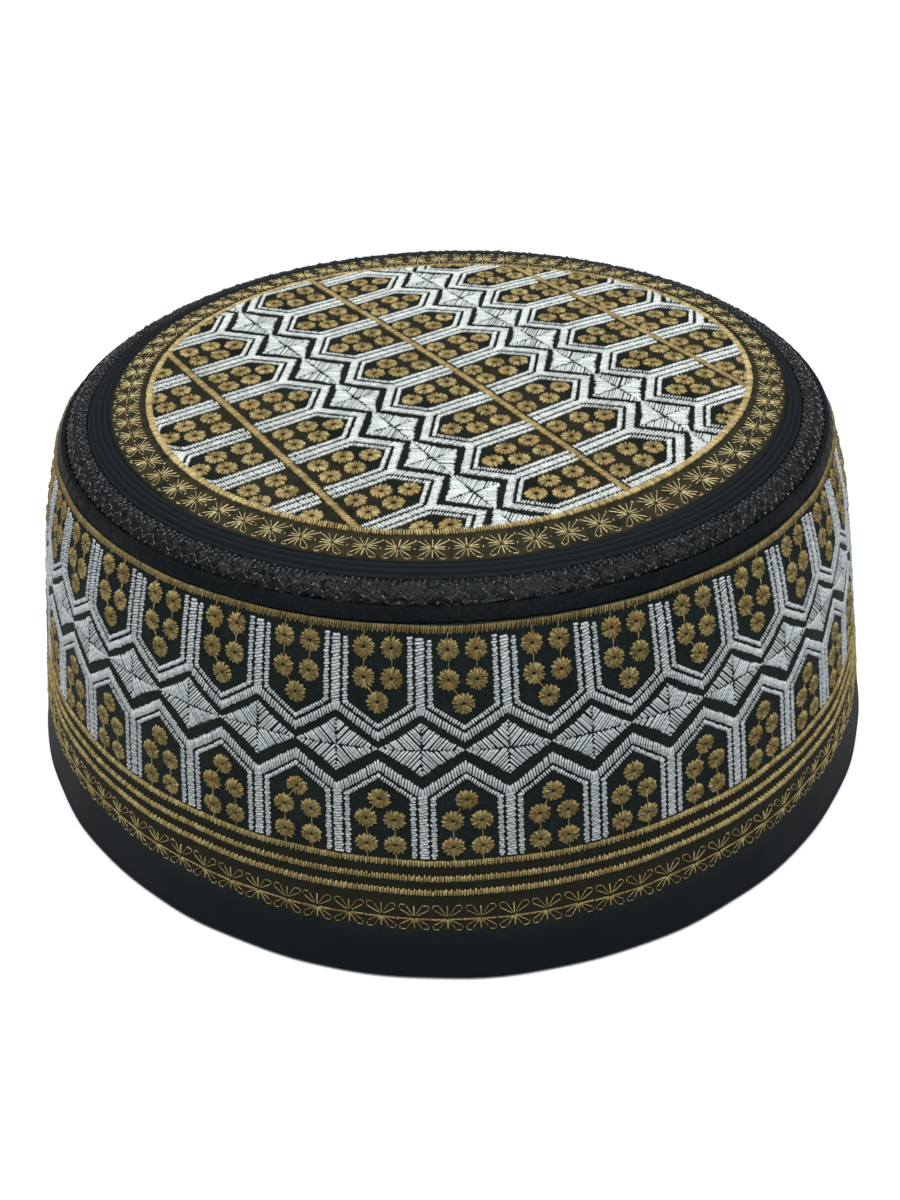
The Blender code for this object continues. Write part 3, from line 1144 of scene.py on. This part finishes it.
one_daisy = side_daisy_rows()
daisy_radius = float(np.interp(CHAIN_ARC + SIDE_DAISY_Y, WALL_ARC, WALL_RADII))
one_daisy[:, [0, 2]] *= CHAIN_RADIUS / daisy_radius
one_daisy[:, [1, 3]] += SIDE_DAISY_Y
daisy_places = (FIRST_DAISY + 2 * math.pi * np.arange(SIDE_DAISIES) / SIDE_DAISIES) * CHAIN_RADIUS
daisies = np.concatenate([shifted(one_daisy, x) for x in daisy_places])
sew("side_daisy_border", daisies, on_wall, threads["gold_thread_side_painted_shade"], 17, 0.05)

# %% [markdown]
# ## The crown's embroidery
#
# The crown carries the same unit. Its chains run slantwise across the disc, with straight gold
# lines halfway between them, and a gold ring cuts the pattern off. Each chain has its own
# middle, pitch and bend, and each side of a chain its own heights, a shift along the chain and
# a skew, because the pull stretched each of them differently.

# %% Crown chains
A_OVER = Half(5.1, 0.0, 5.6, (1.22, 3.50), (4.00, 5.15), 21.15, 15, 0.25, (8.3, 12.45, 17.6))
A_UNDER = Half(5.3, 0.0, 5.9, (1.22, 3.60), (4.10, 5.40), 20.75, -15, 0.25, (8.5, 12.8, 17.7))
B_OVER = Half(6.1, 0.0, 6.3, (1.02, 3.50), (4.00, 5.30), 21.05, 15, 0.25, (9.0, 13.1, 18.6))
B_UNDER = Half(6.2, 0.0, 6.4, (1.20, 3.90), (4.45, 5.95), 21.10, -15, 0.25, (9.2, 13.6, 19.1))
Side = namedtuple("Side", "half shift skew", defaults=(None, 0.0, 0.0))
Chain = namedtuple("Chain", "y middle pitch bend over under", defaults=(None, None))
CHAINS = (
    Chain(-64.9, 2.0, 14.20, -0.20, Side(A_OVER), Side(A_UNDER)),
    Chain(-21.3, 2.0, 14.40, -0.25, Side(A_OVER, 0.35), Side(A_UNDER, -0.2)),
    Chain(22.5, -0.5, 13.93, -0.03, Side(B_OVER, 0.1), Side(B_UNDER, 0.3, 0.065)),
    Chain(66.1, -1.0, 13.90, 0.00, Side(B_OVER), Side(B_UNDER)),
)


def to_crown(rows, chain, side=Side()):
    """Stitches drawn as (along a chain, away from it), laid on the crown in x and y."""
    laid = np.array(rows, dtype=float)
    for i in (0, 2):
        steps = laid[:, i] / PITCH
        along = chain.middle + chain.pitch * steps + chain.bend * steps**2
        along = along + side.shift + side.skew * np.abs(laid[:, i + 1])
        away = chain.y + laid[:, i + 1]
        laid[:, i] = along * TURN_COS - away * TURN_SIN
        laid[:, i + 1] = along * TURN_SIN + away * TURN_COS
    return laid


def within_ring(points, inside):
    x, y = points.T
    return np.hypot(x, y) < ring_radius(x, y) - inside


def cut_at_ring(rows, inside):
    """Keeps what lies inside the ring, and shortens the stitches that cross it."""
    kept = rows.copy()
    start_in, end_in = within_ring(rows[:, 0:2], inside), within_ring(rows[:, 2:4], inside)
    for keep, move, crossing in ((0, 2, start_in & ~end_in), (2, 0, end_in & ~start_in)):
        fixed, loose = rows[:, keep : keep + 2], rows[:, move : move + 2]
        low, high = np.zeros(len(rows)), np.ones(len(rows))
        for _ in range(12):
            share = (low + high) / 2
            near = within_ring(fixed + (loose - fixed) * share[:, None], inside)
            low, high = np.where(near, share, low), np.where(near, high, share)
        cut = fixed + (loose - fixed) * low[:, None]
        kept[crossing, move : move + 2] = cut[crossing]
    kept = kept[start_in | end_in]
    return kept[np.hypot(kept[:, 2] - kept[:, 0], kept[:, 3] - kept[:, 1]) > 0.25]


def over_the_crown(draw, style, places):
    """A drawing at each place and on each side of every chain, laid on the crown."""
    laid = []
    for chain in CHAINS:
        for x in places:
            over = draw(chain.over.half, style)
            laid.append(to_crown(shifted(over, x), chain, chain.over))
            under = flipped(draw(chain.under.half, style))
            laid.append(to_crown(shifted(under, x), chain, chain.under))
    return np.concatenate(laid)


# %% Sew the crown's chains
bar_places = np.arange(-5, 6) * PITCH
for seed, (shape, draw) in enumerate(SHAPES.items(), 21):
    cells = cut_at_ring(over_the_crown(draw, CROWN_STYLE, bar_places), 0.25)
    sew("crown_white_" + shape, cells, on_crown, threads["white_thread_crown"], seed)
crown_buds = cut_at_ring(over_the_crown(bud_cell, CROWN_BUDS, bar_places + PITCH / 2), 0.2)
sew("crown_gold_rosettes", crown_buds, on_crown, threads["gold_thread_crown"], 25, root_shade=BUD_ROOT_SHADE)

# %% The crown's gold lines and ring
CROWN_LINES = (-42.8, 0.35, 44.3)
STRAIGHT = Chain(0.0, 0.0, PITCH, 0.0)
RING_STITCH = ((-0.76, -0.12), (0.76, 0.12))  # each end's place out from the ring, and its slant


def crown_line_rows(y):
    rows = satin_rows(Line(y, 1.60, 0.24, 1), np.arange(-60.0, 60.0, SATIN_STEP))
    return cut_at_ring(to_crown(rows, STRAIGHT), 0.2)


def crown_ring_rows():
    """The gold ring: short stitches across its line."""
    count = round(2 * math.pi * RING_RADIUS / SATIN_STEP)
    turns = 2 * math.pi * np.arange(count) / count
    ends = []
    for out, slant in RING_STITCH:
        turn = turns + slant / RING_RADIUS
        radius = ring_radius(np.sin(turn), -np.cos(turn)) + out + rng.uniform(-0.10, 0.10, count)
        ends += [radius * np.sin(turn), -radius * np.cos(turn)]
    return stitch_rows(*ends, SATIN_WIDTH, 0.46)


crown_lines = np.concatenate([crown_line_rows(y) for y in CROWN_LINES])
sew("crown_gold_lines", crown_lines, on_crown, threads["gold_thread_crown_lines"], 26, 0.04)
sew("crown_gold_ring", crown_ring_rows(), on_crown, threads["gold_thread_crown"], 28, 0.04)

# %% [markdown]
# ## The crown's daisies
#
# The crown's daisies stand between the ring and the ribs, each turned to face outwards. Towards
# the edge they have two looped petals. Towards the ring they have thin rays instead, which meet
# the next daisy's rays in a small knot.

# %% Daisies round the crown
CROWN_DAISIES = 71
DAISY_TALL = 6.1
CROWN_RAYS = (
    (0.1, -0.15, 1.5, -2.9, 0.15, 0.13),
    (0.2, -0.10, 2.6, -2.35, 0.15, 0.13),
    (0.1, 0.05, 2.3, 0.40, 0.15, 0.13),
    (0.1, -0.15, 2.2, -0.55, 0.15, 0.13),
)


def crown_daisy_rows():
    """One daisy of the crown round (0, 0), its head to the edge, before it is fitted in."""
    rows = [(0.0, 0.2, 0.0, 3.0, 0.27, 0.20), (0.0, -0.2, 0.0, -2.9, 0.27, 0.20)]
    for side in (-1, 1):
        rows += petal_rows((1.25, 3.05), (2.40, 2.55), side, 1, 0.14) + mirrored(CROWN_RAYS, side)
    rows.append((2.55, -2.65, 2.55, -2.1, 0.42, 0.22))
    rows.append((2.60, -0.2, 2.60, 0.35, 0.26, 0.16))
    return np.array(rows)


def crown_border_rows():
    """The daisies round the crown. The sine keeps them level with the real ones' uneven pitch."""
    shape = crown_daisy_rows()
    rows = []
    for k in range(CROWN_DAISIES):
        rough = math.radians(2.5) + 2 * math.pi * k / CROWN_DAISIES
        turn = rough + math.radians(0.55 - 0.6 * math.cos(4 * (rough - math.radians(12))))
        right = np.array([math.cos(turn), math.sin(turn)])
        out = np.array([math.sin(turn), -math.cos(turn)])
        inner, outer = float(ring_radius(*out)) + 1.66, float(border_radius(*out)) - 0.15
        tall = (outer - inner) / DAISY_TALL
        middle = out * (inner + 2.9 * tall)
        laid = shape.copy()
        for i in (0, 2):
            x, y = shape[:, i, None], shape[:, i + 1, None]
            laid[:, i : i + 2] = middle + x * right + y * tall * out
        rows.append(laid)
    return np.concatenate(rows)


fine_gold = threads["fine_gold_thread_crown"]
sew("crown_daisy_border", crown_border_rows(), on_crown, fine_gold, 27, 0.04)

# %% [markdown]
# ## The shoulder's black stitching
#
# Shiny black thread quilts the shoulder: four rows of dots beside the crown, an open zigzag over
# the roll, and one more row of dots above the rim strip. The rows are staggered by half a step.

# %% Quilting on the shoulder
SHOULDER_GIRTH = 2 * math.pi * ROLL_CENTRE[0]
TACKS_ROUND = 237
Tack = namedtuple("Tack", "over long width high")
TACKS = (
    Tack(105.0, 0.6, 0.30, 0.18),
    Tack(97.0, 0.6, 0.34, 0.20),
    Tack(89.0, 0.6, 0.36, 0.20),
    Tack(80.0, 0.7, 0.52, 0.24),
    Tack(27.0, 0.6, 0.36, 0.24),
)
ZIGZAG_LOW, ZIGZAG_HIGH = math.radians(35.0) * ROLL_ROUND, math.radians(62.0) * ROLL_ROUND


def tack_rows(tack, start):
    """A row of small upright stitches round the shoulder, from a share of a step on."""
    y = math.radians(tack.over) * ROLL_ROUND
    x = (np.arange(TACKS_ROUND) + start) * SHOULDER_GIRTH / TACKS_ROUND
    low, high = y - tack.long / 2, y + tack.long / 2
    return stitch_rows(x - 0.10, low, x + 0.10, high, tack.width, tack.high)


def quilt_rows():
    """The open zigzag over the roll, two stitches to each leg."""
    step = SHOULDER_GIRTH / QUILTS / 2
    rows = []
    for i in range(2 * QUILTS):
        x, leg = i * step, i % 2
        start, end = (ZIGZAG_HIGH, ZIGZAG_LOW) if leg else (ZIGZAG_LOW, ZIGZAG_HIGH)
        middle = (start + end) / 2
        thick = 0.18 + 0.10 * leg
        rows.append((x, start, x + step / 2, middle, thick, 0.22))
        rows.append((x + step / 2, middle, x + step, end, thick, 0.22))
    return np.array(rows)


quilting = [tack_rows(tack, 0.5 * (i % 2)) for i, tack in enumerate(TACKS)] + [quilt_rows()]
sew("shoulder_black_thread", np.concatenate(quilting), on_roll, threads["black_thread_painted_glints"], 31, 0.09)

# %% [markdown]
# ## Putting every piece on the hat's body
#
# Every piece rides on the hat's one body. The four cloth pieces stand for the four solids, which
# are hidden. Each row of COVERS gives a cloth piece, the solid it stands for and a finish name,
# which is not used. The band, the rim strip and the crown are sheets, and the shoulder is padded.

# %% Attach the pieces
COVERS = (
    (side_band, "side_band", "band_cloth"),
    (rim_strip, "rim_strip", "rim_cloth"),
    (shoulder, "shoulder_roll", "shoulder_cloth"),
    (crown, "crown_panel", "crown_cloth"),
)
for piece, node, finish in COVERS:
    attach(piece, "root")
    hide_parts(node)
for piece in pieces.values():
    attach(piece, "root")
